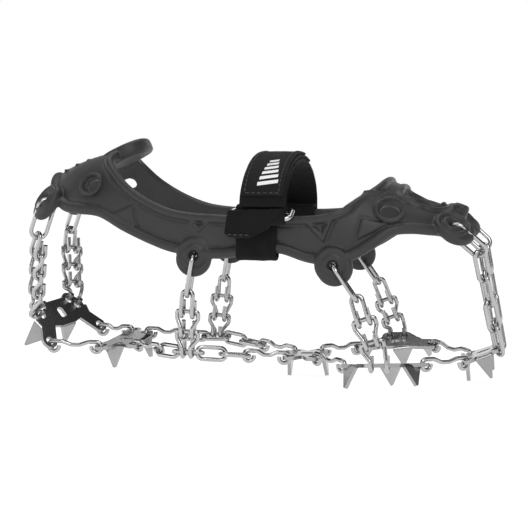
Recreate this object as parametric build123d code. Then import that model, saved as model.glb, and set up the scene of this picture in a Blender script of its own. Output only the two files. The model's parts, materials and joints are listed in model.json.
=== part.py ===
"""Chain-type ice cleats that pull over a shoe: elastomer harness, strap, chains and spiked plates.

Frame, in millimetres: +X towards the toe, +Y to the wearer's left, +Z up. The origin is the middle
of the shoe sole's footprint, about level with the tops of the plates.
"""
import os
from math import cos, radians, sin

from build123d import *

# Wire and links
WIRE = 2.4  # wire diameter
WIRE_CLEARANCE = 3.6  # diameter of the groove that lets an eyelet link swing
BEND = 2.9  # centreline radius of a hook round a bar or a plate's edge
SEAT = 2.8  # distance between the centrelines of two bars that pull on each other
LINK_LENGTH = 18.5
LINK_WIDTH = 9.0
TOE_LINK_LENGTH = 19.3
EYELET_LINK_LENGTH = 25.0
EYELET_LINK_WIDTH = 11.4
RUNG_HALF = 5.9  # half the width of a ladder link's crossbar
HOOK_SPREAD = 3.0  # half the distance between a ladder link's two hooks
HOOK_TAIL = 5.2  # free end of a ladder link's hook, above the bar it holds

# Harness
BAND_THICKNESS = 3.6
LUG_RADIUS = 9.6
LUG_THICKNESS = 5.6
EYELET_RADIUS = 2.7

# Stamped plates
PLATE_THICKNESS = 2.0
HOLE_RADIUS = 2.5
RIM = 2.0  # metal left between a hole and the plate's edge
ARM_RADIUS = HOLE_RADIUS + RIM
STRIP = HOLE_RADIUS + RIM / 2  # from a hole's centre to the middle of that metal
SPIKE_WIDTH = 11.0
SPIKE_LENGTH = 11.5
SPIKE_TIP_RADIUS = 0.9
BEND_INNER_RADIUS = 0.6

# Strap
WEBBING_WIDTH = 24.0
WEBBING_THICKNESS = 1.8
RING_WIRE = 3.0

NEAR, FAR = -1, 1
SIDES = {"near": NEAR, "far": FAR}


def unit(vector):
    return Vector(vector).normalized()


def part_point(x, y, z, side=FAR):
    return Vector(x, side * y, z)


def save(node, solids):
    """Write one node's solids to its STEP file."""
    shape = solids[0] if len(solids) == 1 else Compound(children=list(solids))
    shape.label = node
    export_step(shape, f"parts/{node}.step")


# ---------------------------------------------------------------- wire parts


def wire_along(points, radii):
    """Round wire along a polyline with rounded corners."""
    path = FilletPolyline(points, radius=radii)
    section = Plane(path @ 0, z_dir=path % 0) * Circle(WIRE / 2)
    return sweep(section, path=path).solid()


def closed_link(plane, length, width, groove=WIRE):
    """Welded oval link with its long axis along the plane's x and its flat side facing z."""
    path = SlotOverall(length - WIRE, width - WIRE).face().outer_wire()
    section = Plane(path @ 0, z_dir=path % 0) * Circle(groove / 2)
    return plane * sweep(section, path=path).solid()


def frame_at(origin, up, out):
    """Plane whose y is up and whose z is the outward direction, made square to up."""
    up = unit(up)
    out = Vector(out) - up * Vector(out).dot(up)
    return Plane(origin=origin, x_dir=up.cross(out), z_dir=out)


def hook_points(low, side, spread):
    """One hook round the bar at a frame's origin, from its free end behind to its arm in front."""
    x = side * spread
    local = [(x, HOOK_TAIL, -BEND), (x, -BEND, -BEND), (x, -BEND, BEND), (x, 2.2, BEND)]
    return [low.from_local_coords(Vector(p)) for p in local]


def hanger_link(top, low, spread=HOOK_SPREAD):
    """U-shaped link: closed top in one frame, two hooks in the frame below it."""
    tops = [top.from_local_coords(Vector(side * HOOK_SPREAD, 0, 0)) for side in (-1, 1)]
    points = hook_points(low, -1, spread) + tops + hook_points(low, 1, spread)[::-1]
    hook = [BEND * 0.98, BEND * 0.98, 2.0]
    return wire_along(points, hook + [HOOK_SPREAD * 0.97] * 2 + hook[::-1])


def ladder_link(top, low, spread=HOOK_SPREAD):
    """Formed link: straight crossbar with bulged ends, arms that converge, and two hooks."""
    left, right = [
        [top.from_local_coords(Vector(side * RUNG_HALF, y, 0)) for y in (-4.0, 0)]
        for side in (-1, 1)
    ]
    points = hook_points(low, -1, spread) + left + right[::-1] + hook_points(low, 1, spread)[::-1]
    arm = [BEND * 0.98, BEND * 0.98, 2.0, 1.6, 1.5]
    return wire_along(points, arm + arm[::-1])


def connector_link(start, end, up):
    """Open C-shaped link between two bars: dipped top, and both ends curled down under a bar."""
    along = unit(end - start)
    up = Vector(up)
    up = unit(up - along * up.dot(along))

    def at(base, forward, height):
        return base + along * forward + up * height

    length = (end - start).length
    shoulder = min(4.5, 0.22 * length)
    dip_half = min(2.5, 0.1 * length)
    middle = (start + end) * 0.5
    curl_start = [at(start, BEND, 0.4), at(start, BEND, -BEND), at(start, -BEND, -BEND),
                  at(start, -BEND, BEND)]
    curl_end = [at(end, BEND, BEND), at(end, BEND, -BEND), at(end, -BEND, -BEND),
                at(end, -BEND, 0.4)]
    dip = [at(start, shoulder, BEND), at(middle, -dip_half, 1.0), at(middle, dip_half, 1.0),
           at(end, -shoulder, BEND)]
    curl = [BEND * 0.98, BEND * 0.98, 2.6]
    bend = min(4.0, 0.16 * length)
    return wire_along(curl_start + dip + curl_end, curl + [bend] * 4 + curl[::-1])


# ---------------------------------------------------------------- stamped plates


def spike(outward, foot, angle, width=SPIKE_WIDTH, length=SPIKE_LENGTH):
    """Triangular tab bent down from a plate's edge; foot is the bend's start, on the top face."""
    outer = BEND_INNER_RADIUS + PLATE_THICKNESS
    turn = radians(angle)
    leg = Vector(cos(turn), -sin(turn))
    centre = Vector(0, -outer)

    def arc(radius):
        ends = [centre + Vector(sin(a), cos(a)) * radius for a in (0, turn / 2, turn)]
        return ThreePointArc(*ends), ends[0], ends[2]

    top_arc, top_start, top_end = arc(outer)
    low_arc, low_start, low_end = arc(BEND_INNER_RADIUS)
    reach = 4.0  # overlap with the plate's body
    profile = make_face([
        Line((-reach, 0), top_start),
        top_arc,
        Line(top_end, top_end + leg * length),
        Line(top_end + leg * length, low_end + leg * length),
        Line(low_end + leg * length, low_end),
        low_arc,
        Line(low_start, (-reach, -PLATE_THICKNESS)),
        Line((-reach, -PLATE_THICKNESS), (-reach, 0)),
    ])
    half = width / 2
    tab = extrude(Plane.YZ * profile, half, both=True)
    outline = Polyline((-half, 12), (-half, 0), (0, -length), (half, 0), (half, 12), close=True)
    face = make_face(outline)
    tip = face.vertices().sort_by(Axis.Y)[0]
    face = fillet(tip, SPIKE_TIP_RADIUS)
    normal = Vector(0, sin(turn), cos(turn))
    cutter_plane = Plane((0, centre.X, centre.Y), x_dir=(1, 0, 0), z_dir=normal)
    if (cutter_plane.y_dir.Z) < 0:
        cutter_plane = Plane((0, centre.X, centre.Y), x_dir=(-1, 0, 0), z_dir=normal)
    cutter = extrude(cutter_plane * face, 9, both=True)
    outward = unit(outward)
    place = Plane(foot, x_dir=outward.cross(Vector(0, 0, 1)), z_dir=(0, 0, 1))
    return place * (tab & cutter)


def stamped_plate(plane, body, arms, pads, slots, spikes):
    """Flat plate in its own frame: body outline, arms that end in holes, two-hole pads, slots
    and bent spikes."""
    face = fillet(make_face(Polyline(body, close=True)).vertices(), 2.5)
    holes = []
    for foot, hole in arms:
        run = Vector(hole) - Vector(foot)
        middle = (Vector(foot) + Vector(hole)) * 0.5
        arm = SlotOverall(run.length + 2 * ARM_RADIUS, 2 * ARM_RADIUS)
        face += Plane(middle, x_dir=run, z_dir=(0, 0, 1)) * arm
        holes.append(hole)
    for centre, tangent, spread in pads:
        pad = SlotOverall(2 * spread + 2 * ARM_RADIUS, 2 * ARM_RADIUS)
        face += Plane(centre, x_dir=tangent, z_dir=(0, 0, 1)) * pad
        for step in (-spread, spread):
            spot = Vector(centre) + unit(tangent) * step
            holes.append((spot.X, spot.Y))
    for x, y in holes:
        face -= Pos(x, y) * Circle(HOLE_RADIUS)
    for x, y, length, width in slots:
        face -= Pos(x, y) * SlotOverall(length, width)
    solid = extrude(face, -PLATE_THICKNESS)
    for tab in spikes:
        solid += spike(*tab)
    return plane * solid.solid()


def strip_point(plane, hole, outward):
    """Middle of the metal between a hole and the plate's edge, half-way through the plate."""
    local = Vector(hole) + unit(outward) * STRIP
    return plane.from_local_coords(Vector(local.X, local.Y, -PLATE_THICKNESS / 2))


def strips_between(first_plane, first_hole, second_plane, second_hole):
    """Metal strips that a connector between two plates' holes hooks round."""
    first = first_plane.from_local_coords(Vector(*first_hole, 0))
    second = second_plane.from_local_coords(Vector(*second_hole, 0))
    upright = (second - first).cross(Vector(0, 0, 1))
    strips = []
    for plane, centre, ahead in (
        (first_plane, first, second - first),
        (second_plane, second, first - second),
    ):
        outward = unit(plane.z_dir.cross(upright))
        if outward.dot(ahead) < 0:
            outward = outward * -1
        strips.append(centre + outward * STRIP - plane.z_dir * (PLATE_THICKNESS / 2))
    return strips


def strip_towards(plane, hole, target, up=(0, 0, 1)):
    """Metal strip beside a hole that a connector towards a point hooks round."""
    centre = plane.from_local_coords(Vector(*hole, 0))
    upright = (target - centre).cross(Vector(up))
    outward = unit(plane.z_dir.cross(upright))
    if outward.dot(target - centre) < 0:
        outward = outward * -1
    return centre + outward * STRIP - plane.z_dir * (PLATE_THICKNESS / 2)


def mirrored(point, side):
    return (point[0], side * point[1])


# Frames of the six plates: origin on the top face, x forward, z out of the top face
HEEL_REAR = Plane((-120.5, 0, 17.5), x_dir=(0.627, -0.168, -0.764), z_dir=(0.681, -0.365, 0.639))
HEEL_FRONT = Plane((-80, -1, 3.3), x_dir=(0.97, -0.21, 0.02), z_dir=(-0.047, -0.12, 0.99))
BALL_CENTRE = Plane((24, 0, -2.5), x_dir=(1, 0, 0.03), z_dir=(-0.03, 0, 1))
BALL_SIDE = {
    "near": Plane((70, -36, -1.2), x_dir=(1, 0, 0.05), z_dir=(-0.05, 0.15, 1)),
    "far": Plane((70, 36, 1.0), x_dir=(1, 0, 0.05), z_dir=(-0.05, -0.36, 1)),
}
TOE = Plane((121.5, 0, 1.6), x_dir=(0.93, 0, 0.37), z_dir=(-0.37, 0, 0.93))

# Hole centres in the plates' own frames on the far side; the near side has the opposite y
HEEL_REAR_ARM = (15.5, 21.0)
HEEL_REAR_PAD = (-3.5, 13.0)
HEEL_REAR_PAD_OUT = (-0.62, 0.78)
HEEL_FRONT_REAR = (-6.0, 18.0)
HEEL_FRONT_FRONT = {"near": (10.0, -11.0), "far": (4.5, 13.0)}
BALL_CENTRE_REAR = (-7.0, 10.0)
BALL_CENTRE_FRONT = (6.0, 12.5)
BALL_SIDE_REAR = (-19.0, -5.0)
BALL_SIDE_FRONT = (21.0, -4.0)
BALL_SIDE_PAD = (0.6, 5.8)
BALL_PAD_SPREAD = 4.2
TOE_REAR = (-7.5, 12.0)
TOE_FRONT = (7.5, 8.5)


def make_heel_rear_plate():
    body = [(-8, -6), (-8, 6), (-5, 14), (6, 17), (9, 6), (9, -6), (6, -17), (-5, -14)]
    arms, pads, spikes = [], [], [((1, 0, 0), (8, 0, 0), 62)]
    for side in (NEAR, FAR):
        arms.append(((3, side * 13), mirrored(HEEL_REAR_ARM, side)))
        pads.append((mirrored(HEEL_REAR_PAD, side), (0.78, side * 0.62), HOOK_SPREAD))
        spikes.append(((0.2, side, 0), (6.6, side * 19, 0), 60, 12.5, 14.0))
    return stamped_plate(HEEL_REAR, body, arms, pads, [(1.0, 0, 7.5, 4.4)], spikes)


def make_heel_front_plate():
    body = [(-8, -9), (-8, 9), (-2, 12), (5, 9), (9, 4), (9, -4), (7, -9), (-2, -12)]
    arms = []
    for name, side in SIDES.items():
        arms.append(((-3, side * 7), mirrored(HEEL_FRONT_REAR, side)))
        arms.append(((3, side * 5), HEEL_FRONT_FRONT[name]))
    spikes = [
        ((0.1, -1, 0), (-1.5, -11.2, 0), 78, 11.5, 13.0),
        ((-1, 0, 0), (-7.0, -2, 0), 75),
        ((1, 0.1, 0), (8.0, 5, 0), 80),
    ]
    slots = [(1, -2.5, 8, 4.2), (-4.5, 4.5, 5.5, 2.8)]
    return stamped_plate(HEEL_FRONT, body, arms, [], slots, spikes)


def make_ball_centre_plate():
    body = [(-8, -6), (-8, 6), (-2, 9), (4, 9), (10, 6), (10, -6), (4, -9), (-2, -9)]
    arms = []
    for side in (NEAR, FAR):
        arms.append(((-3, side * 4), mirrored(BALL_CENTRE_REAR, side)))
        arms.append(((3, side * 5), mirrored(BALL_CENTRE_FRONT, side)))
    spikes = [((-1, 0, 0), (-7, 0, 0), 84), ((1, 0, 0), (9, 0, 0), 84)]
    return stamped_plate(BALL_CENTRE, body, arms, [], [(1, 0, 8.5, 4.4)], spikes)


def make_ball_side_plate(name):
    side = SIDES[name]
    body = [(-14, -6), (-9, 3), (-6, 8), (9, 8), (13, 3), (18, -5), (12, -7), (-6, -7)]
    body = [mirrored(corner, side) for corner in body]
    arms = [
        (mirrored((-10, -3), side), mirrored(BALL_SIDE_REAR, side)),
        (mirrored((10, -3), side), mirrored(BALL_SIDE_FRONT, side)),
    ]
    pads = [(mirrored(BALL_SIDE_PAD, side), (1, 0), BALL_PAD_SPREAD)]
    spikes = [
        ((0.15, -side, 0), (4.5, -side * 6, 0), 80, SPIKE_WIDTH, 10.6),
        ((-0.75, side * 0.65, 0), (-14.5, side * -0.5, 0), 72, SPIKE_WIDTH, 12.5),
        ((0.75, side * 0.65, 0), (15.5, side * -0.5, 0), 72),
    ]
    return stamped_plate(BALL_SIDE[name], body, arms, pads, [(2, side * -1.5, 8.5, 4.8)], spikes)


def make_toe_plate():
    body = [(-9, -8), (-9, 8), (-2, 13), (5, 12), (9, 7), (9, -7), (5, -12), (-2, -13)]
    arms, spikes = [], [((-1, 0, 0), (-7.8, 0, 0), 72, SPIKE_WIDTH, 12.5)]
    for side in (NEAR, FAR):
        arms.append(((-3, side * 6), mirrored(TOE_REAR, side)))
        arms.append(((3, side * 5), mirrored(TOE_FRONT, side)))
        spikes.append(((0.1, side, 0), (0.4, side * 11.4, 0), 84, 9.0, 13.0))
    return stamped_plate(TOE, body, arms, [], [(0.5, 0, 8, 4.0)], spikes)


# ---------------------------------------------------------------- harness

# Eyelet lugs on the far side: hole centre, outward normal, and the direction its link hangs in
LUGS = {
    "heel": ((-117, 26, 83), (-0.55, 0.58, 0.60), (-7, 0, -20)),
    "mid_rear": ((-29, 42, 55), (0.05, 1, 0.08), (-4, 0, -22.4)),
    "mid_front": ((46.3, 47, 51.3), (0.05, 1, 0.08), (12.7, 0, -18.3)),
    "toe": ((106, 29, 71), (0.30, 0.55, 0.78), (17, -4, -15)),
}
# Band sections on the far side, from the heel's centre to the toe's: lower edge, middle, upper edge
BAND = [
    ((-122, 0, 94.5), (-104, 0, 104), (-76, 0, 111)),
    ((-118, 17, 87), (-103, 14, 102), (-78, 13, 109.5)),
    ((-107, 32, 78.5), (-98, 28, 95), (-80, 23.5, 106.5)),
    ((-97, 36.5, 76.5), (-89, 33.5, 91), (-77, 29.5, 101)),
    ((-84, 37.5, 74.5), (-78, 36, 86), (-69, 34.5, 92.5)),
    ((-70, 38.5, 67.5), (-65, 38.8, 77), (-58, 38.5, 85.5)),
    ((-54, 39.5, 60), (-50, 40.5, 71), (-45, 40.5, 79.5)),
    ((-40, 41, 56), (-37, 42, 67), (-33, 41.5, 77.3)),
    ((-18, 43, 53.5), (-17, 43.6, 65), (-15, 43, 76.3)),
    ((0, 43.7, 55.5), (0, 44.3, 66), (1, 43.8, 76)),
    ((17, 44, 57), (17, 44.7, 66.5), (16, 44, 76)),
    ((33, 45, 52.5), (32, 45.4, 64.5), (31, 44.5, 76.2)),
    ((46, 46.5, 51.5), (45, 46.4, 64.5), (42, 45, 77.5)),
    ((57, 46, 55), (55, 45.6, 67), (51, 43.5, 81)),
    ((67, 44.5, 61), (65, 43.5, 73), (61, 35.5, 88)),
    ((76, 42, 67), (76, 39.5, 77), (76, 29, 86)),
    ((86, 38, 68.5), (87, 35.5, 76), (88, 23, 83)),
    ((97, 33.5, 67), (98, 29, 75), (96.5, 20.5, 80)),
    ((108, 22, 65), (107, 18, 74), (101, 12, 80.5)),
    ((113, 0, 65), (111, 0, 75), (102, 0, 81.5)),
]
# Bridge over the toes: rear edge and front edge, from the band to the centre
BRIDGE = [
    ((60, 36.5, 87), (78, 31, 85)),
    ((66, 27, 91), (80, 23, 87)),
    ((68.5, 14, 93.7), (79.5, 13, 90)),
    ((69, 0, 94.5), (79, 0, 91)),
]
# Vent holes in the band: centre, outward normal, radius
VENTS = [((-89, 34.5, 92), (-0.25, 0.85, 0.45), 5.2), ((75, 39, 80), (0.1, 0.8, 0.6), 6.2)]


def inward_direction(along, point):
    """Direction square to a section's chord that points to the inside of the shoe."""
    inside = Vector(max(-70, min(75, point.X)), 0, point.Z - 12) - point
    along = unit(along)
    return unit(inside - along * inside.dot(along))


def band_section(low, middle, high):
    low, middle, high = Vector(low), Vector(middle), Vector(high)
    chord = high - low
    inward = inward_direction(chord, middle)
    offset = middle - low
    bulge = low + chord * (offset.dot(chord) / chord.dot(chord)) + inward * offset.dot(inward)
    outer = [low, bulge, high]
    inner = [point + inward * BAND_THICKNESS for point in reversed(outer)]
    return Wire(Polyline(outer + inner, close=True).edges())


def bridge_section(rear, front):
    rear, front = Vector(rear), Vector(front)
    inward = inward_direction(front - rear, (rear + front) * 0.5)
    corners = [rear, front, front + inward * BAND_THICKNESS, rear + inward * BAND_THICKNESS]
    return Wire(Polyline(corners, close=True).edges())


def eyelet_plane(lug, side):
    """Plane of the long link in a lug's eyelet: x down the link, z out of its flat side."""
    centre, normal, hang = LUGS[lug]
    hang = unit(part_point(*hang, side))
    middle = part_point(*centre, side) + hang * (EYELET_LINK_LENGTH - WIRE) / 2
    return Plane(middle, x_dir=hang, z_dir=hang.cross(part_point(*normal, side)))


def make_harness():
    band = Solid.make_loft([band_section(*row) for row in BAND], ruled=True)
    bridge = Solid.make_loft([bridge_section(*row) for row in BRIDGE], ruled=True)
    half = band + bridge
    for centre, normal, _ in LUGS.values():
        half += Plane(centre, z_dir=normal) * Cylinder(LUG_RADIUS, LUG_THICKNESS)
    for centre, normal, radius in VENTS:
        half -= Plane(centre, z_dir=normal) * Cylinder(radius, 16)
    for centre, normal, hang in LUGS.values():
        seat = Vector(centre) + unit(hang) * 0.6
        half -= Plane(seat, z_dir=normal) * Cylinder(EYELET_RADIUS, 14)
    for lug in LUGS:
        half -= closed_link(eyelet_plane(lug, FAR), EYELET_LINK_LENGTH, EYELET_LINK_WIDTH,
                            WIRE_CLEARANCE)
    harness = half + half.mirror(Plane.XZ)
    tongue_plane = Plane((-80, 0, 108), x_dir=(0.92, 0, 0.38), z_dir=(-0.38, 0, 0.92))
    harness += tongue_plane * extrude(Ellipse(13, 17), 6)
    harness += Plane((108.5, 0, 76), z_dir=(0.35, 0, 0.94)) * Cylinder(4.5, 7)
    return harness.solid()


# ---------------------------------------------------------------- chain strands


def eyelet_link(lug, side):
    return closed_link(eyelet_plane(lug, side), EYELET_LINK_LENGTH, EYELET_LINK_WIDTH)


def hang_from_eyelet(lug, side, target):
    """Point of the eyelet link's lower bend that a strand to the target pulls on."""
    plane = eyelet_plane(lug, side)
    bend = (EYELET_LINK_WIDTH - WIRE) / 2
    centre = plane.origin + plane.x_dir * ((EYELET_LINK_LENGTH - WIRE) / 2 - bend)
    pull = target - centre
    pull = unit(pull - plane.z_dir * pull.dot(plane.z_dir))
    return centre + pull * bend


def ladder_strand(lug, side, out, last, spread, rungs, hanger_drop):
    """Hanger link and ladder links from an eyelet link down to the frame of the last bar."""
    bottom = hang_from_eyelet(lug, side, last.origin)
    down = unit(last.origin - bottom)
    top = bottom - down * SEAT
    reach = (last.origin - top).length - hanger_drop
    frames = [frame_at(top, down * -1, out)]
    for step in range(rungs):
        frames.append(frame_at(top + down * (hanger_drop + reach * step / rungs), down * -1, out))
    frames.append(last)
    links = [hanger_link(frames[0], frames[1])]
    for index in range(1, rungs):
        links.append(ladder_link(frames[index], frames[index + 1]))
    links.append(ladder_link(frames[rungs], last, spread))
    return links


def pad_frame(plane, pad, outward):
    """Frame at the strip outside a two-hole pad: x along the strip, z outward, y off the plate."""
    origin = strip_point(plane, pad, outward)
    out = plane.from_local_coords(Vector(outward[0], outward[1], 0)) - plane.origin
    return frame_at(origin, plane.z_dir, out)


# ---------------------------------------------------------------- side chains and connectors

JUNCTION = (-35.5, 31.0, 0.6)  # centre of the oval link that carries the mid-rear strand
CHAIN_ROLLS = (57, -18, 76, -6)  # turn of each link's flat side from straight up, outwards
CONNECTOR_LEAN = 28  # the same for the connector behind the first link
CHAIN_SEAT = 3.2  # the links of this chain lie further into each other
PITCH = LINK_LENGTH - WIRE - CHAIN_SEAT
END_BAR = (LINK_LENGTH - WIRE) / 2  # from a link's centre to the middle of its end bar


def rolled(along, side, angle):
    """Direction square to a chain: straight up, turned outwards by an angle."""
    along = unit(along)
    outward = Vector(0, side, 0)
    outward = unit(outward - along * outward.dot(along))
    upright = along.cross(outward) * (1 if along.cross(outward).Z > 0 else -1)
    return upright * cos(radians(angle)) + outward * sin(radians(angle))


def side_chain(name):
    """Four oval links through the junction: centres, directions and flat sides, and the bars
    that the connectors to the plates hold."""
    side = SIDES[name]
    junction = part_point(*JUNCTION, side)
    rear_joint = junction - Vector(PITCH / 2, 0, 0)
    front_joint = junction + Vector(PITCH / 2, 0, 0)
    lean = rolled(Vector(1, 0, 0), side, CONNECTOR_LEAN)
    rear = strip_towards(HEEL_FRONT, HEEL_FRONT_FRONT[name], rear_joint, lean)
    front = strip_towards(BALL_CENTRE, mirrored(BALL_CENTRE_REAR, side), front_joint)
    back = unit(rear - rear_joint)
    ahead = unit(front - front_joint)
    places = [
        (rear_joint + back * (PITCH / 2), back),
        (junction, Vector(1, 0, 0)),
        (front_joint + ahead * (PITCH / 2), ahead),
        (front_joint + ahead * (PITCH * 1.5), ahead),
    ]
    links = [
        (centre, along, rolled(along, side, roll))
        for (centre, along), roll in zip(places, CHAIN_ROLLS)
    ]
    rear_bar = links[0][0] + back * END_BAR
    front_bar = links[3][0] + ahead * END_BAR
    return links, (rear, rear_bar, lean), (front_bar, front, Vector(0, 0, 1))


def toe_strand(name):
    """Four oval links from the toe eyelet link to the toe plate, a quarter turn apart."""
    side = SIDES[name]
    hole = TOE.from_local_coords(Vector(*mirrored(TOE_FRONT, side), 0))
    across = unit((hole - hang_from_eyelet("toe", side, hole)).cross(TOE.z_dir))
    outward = across.cross(TOE.z_dir)
    if outward.X < 0:
        outward = outward * -1
    strip = hole + outward * STRIP - TOE.z_dir * (PLATE_THICKNESS / 2)
    bottom = hang_from_eyelet("toe", side, strip)
    down = unit(strip - bottom)
    end_bar = (TOE_LINK_LENGTH - WIRE) / 2
    first = bottom + down * (end_bar - SEAT - 0.25)
    last = strip - down * (end_bar - BEND)
    links = []
    for index in range(4):
        centre = first + (last - first) * (index / 3)
        turned = across if index % 2 else across.cross(down)
        plane = Plane(centre, x_dir=down, z_dir=turned)
        links.append(closed_link(plane, TOE_LINK_LENGTH, LINK_WIDTH))
    return links


# ---------------------------------------------------------------- instep strap

STRAP_CENTRE = 10.0  # where the webbing crosses the instep
NEAR_LOOP_CENTRE = 5.4
NEAR_LOOP_WIDTH = 22.2
ARCH_BASE = 80.0  # height where the webbing starts to arch over the instep
FLAP_FOLD = (-53.0, 80.5)  # y and z of the line that the flap peels up about


def arch_band(half_width, height, thickness, box):
    """Half-elliptical layer of webbing in the YZ plane, cut to the box (y0, z0, y1, z1)."""
    outer = Ellipse(half_width + thickness, height + thickness)
    ring = Pos(0, ARCH_BASE) * (outer - Ellipse(half_width, height))
    y0, z0, y1, z1 = box
    window = Pos((y0 + y1) / 2, (z0 + z1) / 2) * Rectangle(y1 - y0, z1 - z0)
    return ring & window


def leg(y0, z0, y1, z1):
    return Pos((y0 + y1) / 2, (z0 + z1) / 2) * Rectangle(abs(y1 - y0), abs(z1 - z0))


def webbing(face, centre=STRAP_CENTRE, width=WEBBING_WIDTH):
    """Extrude a YZ section of webbing across its width."""
    start = Plane((centre, 0, 0), x_dir=(0, 1, 0), z_dir=(1, 0, 0))
    return (start * extrude(face, width / 2, both=True)).solid()


def make_near_anchor_loop():
    outer = leg(-47.0, 52.6, -37.6, 82.5)
    hole = leg(-45.2, 54.4, -39.4, 80.8)
    loop = fillet(outer.vertices(), 2.6) - fillet(hole.vertices(), 1.0)
    return webbing(loop, NEAR_LOOP_CENTRE, NEAR_LOOP_WIDTH)


def make_far_anchor_loop():
    outer = leg(37.6, 52.6, 47.0, 79.0)
    hole = leg(39.4, 54.4, 45.2, 77.2)
    loop = fillet(outer.vertices(), 2.6) - fillet(hole.vertices(), 1.0)
    return webbing(loop)


def make_instep_strap():
    """Webbing from the far anchor, over the instep, down to the ring on the near side."""
    half_width = 47.2
    arch = arch_band(half_width, 24.4, WEBBING_THICKNESS, (-60, ARCH_BASE, 60, 120))
    far_leg = leg(half_width, 58, half_width + WEBBING_THICKNESS, ARCH_BASE)
    near_leg = leg(-half_width - WEBBING_THICKNESS, 75.2, -half_width, ARCH_BASE)
    return webbing(arch + far_leg + near_leg)


def make_strap_turnback():
    """Webbing that turns up round the ring's outer bar, with its stitched skirt below."""
    bend = Pos(-50.8, 75.2) * (Circle(3.6) - Circle(1.8))
    bend = bend & leg(-60, 60, -40, 75.1)
    outside = leg(-54.4, 75.1, -52.6, 79.0)
    turn = webbing(bend + outside)
    rear, front = STRAP_CENTRE - WEBBING_WIDTH / 2, STRAP_CENTRE + WEBBING_WIDTH / 2
    corners = [(rear - 7.5, 66.5), (front - 7, 69), (front, 74), (front, 79), (rear - 4, 79)]
    skirt = make_face(Polyline(corners, close=True))
    skirt_plane = Plane((0, -54.4, 0), x_dir=(1, 0, 0), z_dir=(0, -1, 0))
    return (turn + skirt_plane * extrude(skirt, 1.4)).solid()


def make_strap_ring():
    """Rectangular wire ring: inner bar in the anchor loop, outer bar in the strap's turn."""
    inner, outer = Vector(8.4, -42.3, 79.0), Vector(8.4, -50.8, 75.2)
    across = outer - inner
    middle = (inner + outer) * 0.5
    plane = Plane(middle, x_dir=(1, 0, 0), z_dir=Vector(1, 0, 0).cross(across))
    width, height = 31.8, across.length
    path = RectangleRounded(width, height, 2.4).face().outer_wire()
    section = Plane(path @ 0, z_dir=path % 0) * Circle(RING_WIRE / 2)
    return plane * sweep(section, path=path).solid()


def make_strap_flap():
    """Outer layer of webbing, pressed onto the strap from the ring to past the top."""
    arch = arch_band(52.1, 26.4, WEBBING_THICKNESS, (-60, FLAP_FOLD[1] + 1.0, 24, 120))
    return webbing(arch)


def make_strap_patch():
    """Thin sewn pad on the top of the flap."""
    arch = arch_band(54.1, 28.4, 1.4, (-60, 87, 15, 120))
    return webbing(arch, width=WEBBING_WIDTH - 1.6)


# ---------------------------------------------------------------- assembly


def save_strap():
    save("near_anchor_loop", [make_near_anchor_loop()])
    save("far_anchor_loop", [make_far_anchor_loop()])
    save("instep_strap", [make_instep_strap()])
    save("strap_turnback", [make_strap_turnback()])
    save("strap_ring", [make_strap_ring()])
    save("strap_flap", [make_strap_flap()])
    save("strap_patch", [make_strap_patch()])


def save_plates():
    save("heel_rear_plate", [make_heel_rear_plate()])
    save("heel_front_plate", [make_heel_front_plate()])
    save("ball_centre_plate", [make_ball_centre_plate()])
    save("ball_near_plate", [make_ball_side_plate("near")])
    save("ball_far_plate", [make_ball_side_plate("far")])
    save("toe_plate", [make_toe_plate()])


def save_strands(name):
    side = SIDES[name]
    for lug in LUGS:
        save(f"{name}_{lug}_eyelet_link", [eyelet_link(lug, side)])
    heel_pad = mirrored(HEEL_REAR_PAD, side)
    heel_last = pad_frame(HEEL_REAR, heel_pad, mirrored(HEEL_REAR_PAD_OUT, side))
    bar_side = rolled(Vector(1, 0, 0), side, 90 + CHAIN_ROLLS[1])
    bar = part_point(*JUNCTION, side) + bar_side * (LINK_WIDTH - WIRE) / 2 + Vector(0.1, 0, 0)
    junction_last = frame_at(bar, (0, 0, 1), (0, side, 0))
    ball_pad = mirrored(BALL_SIDE_PAD, side)
    ball_last = pad_frame(BALL_SIDE[name], ball_pad, (0, side))
    strands = {
        "heel": ladder_strand("heel", side, (-0.7, side * 0.7, 0), heel_last, HOOK_SPREAD, 3, 11.7),
        "mid_rear": ladder_strand("mid_rear", side, (0, side, 0), junction_last, 2.3, 2, 11.7),
        "mid_front": ladder_strand("mid_front", side, (0, side, 0), ball_last, BALL_PAD_SPREAD, 2, 13.0),
    }
    for lug, links in strands.items():
        save(f"{name}_{lug}_hanger_link", links[:1])
        save(f"{name}_{lug}_ladder", links[1:])
    save(f"{name}_toe_chain", toe_strand(name))


def save_connectors(name):
    side = SIDES[name]
    up = (0, 0, 1)
    links, rear_pair, front_pair = side_chain(name)
    for number, (centre, along, flat) in enumerate(links, start=1):
        plane = Plane(centre, x_dir=along, z_dir=flat)
        save(f"{name}_side_link_{number}", [closed_link(plane, LINK_LENGTH, LINK_WIDTH)])
    save(f"{name}_heel_side_connector", [connector_link(*rear_pair)])
    save(f"{name}_ball_side_connector", [connector_link(*front_pair)])

    ball_plate = BALL_SIDE[name]
    plate_pairs = {
        "heel": (HEEL_REAR, mirrored(HEEL_REAR_ARM, side),
                 HEEL_FRONT, mirrored(HEEL_FRONT_REAR, side)),
        "ball": (BALL_CENTRE, mirrored(BALL_CENTRE_FRONT, side),
                 ball_plate, mirrored(BALL_SIDE_REAR, side)),
        "toe": (ball_plate, mirrored(BALL_SIDE_FRONT, side), TOE, mirrored(TOE_REAR, side)),
    }
    for place, pair in plate_pairs.items():
        start, end = strips_between(*pair)
        save(f"{name}_{place}_connector", [connector_link(start, end, up)])


os.makedirs("parts", exist_ok=True)
save("harness", [make_harness()])
save_strap()
save_plates()
for side_name in SIDES:
    save_strands(side_name)
    save_connectors(side_name)
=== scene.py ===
"""Looks of the shoe ice cleats: moulded harness, woven strap, steel chains and stamped plates.

Shapes are worked out in millimetres in the part's frame (+X toe, +Y wearer's left, +Z up) and
turned into metres when a mesh is made.
"""
import json
import math

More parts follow.
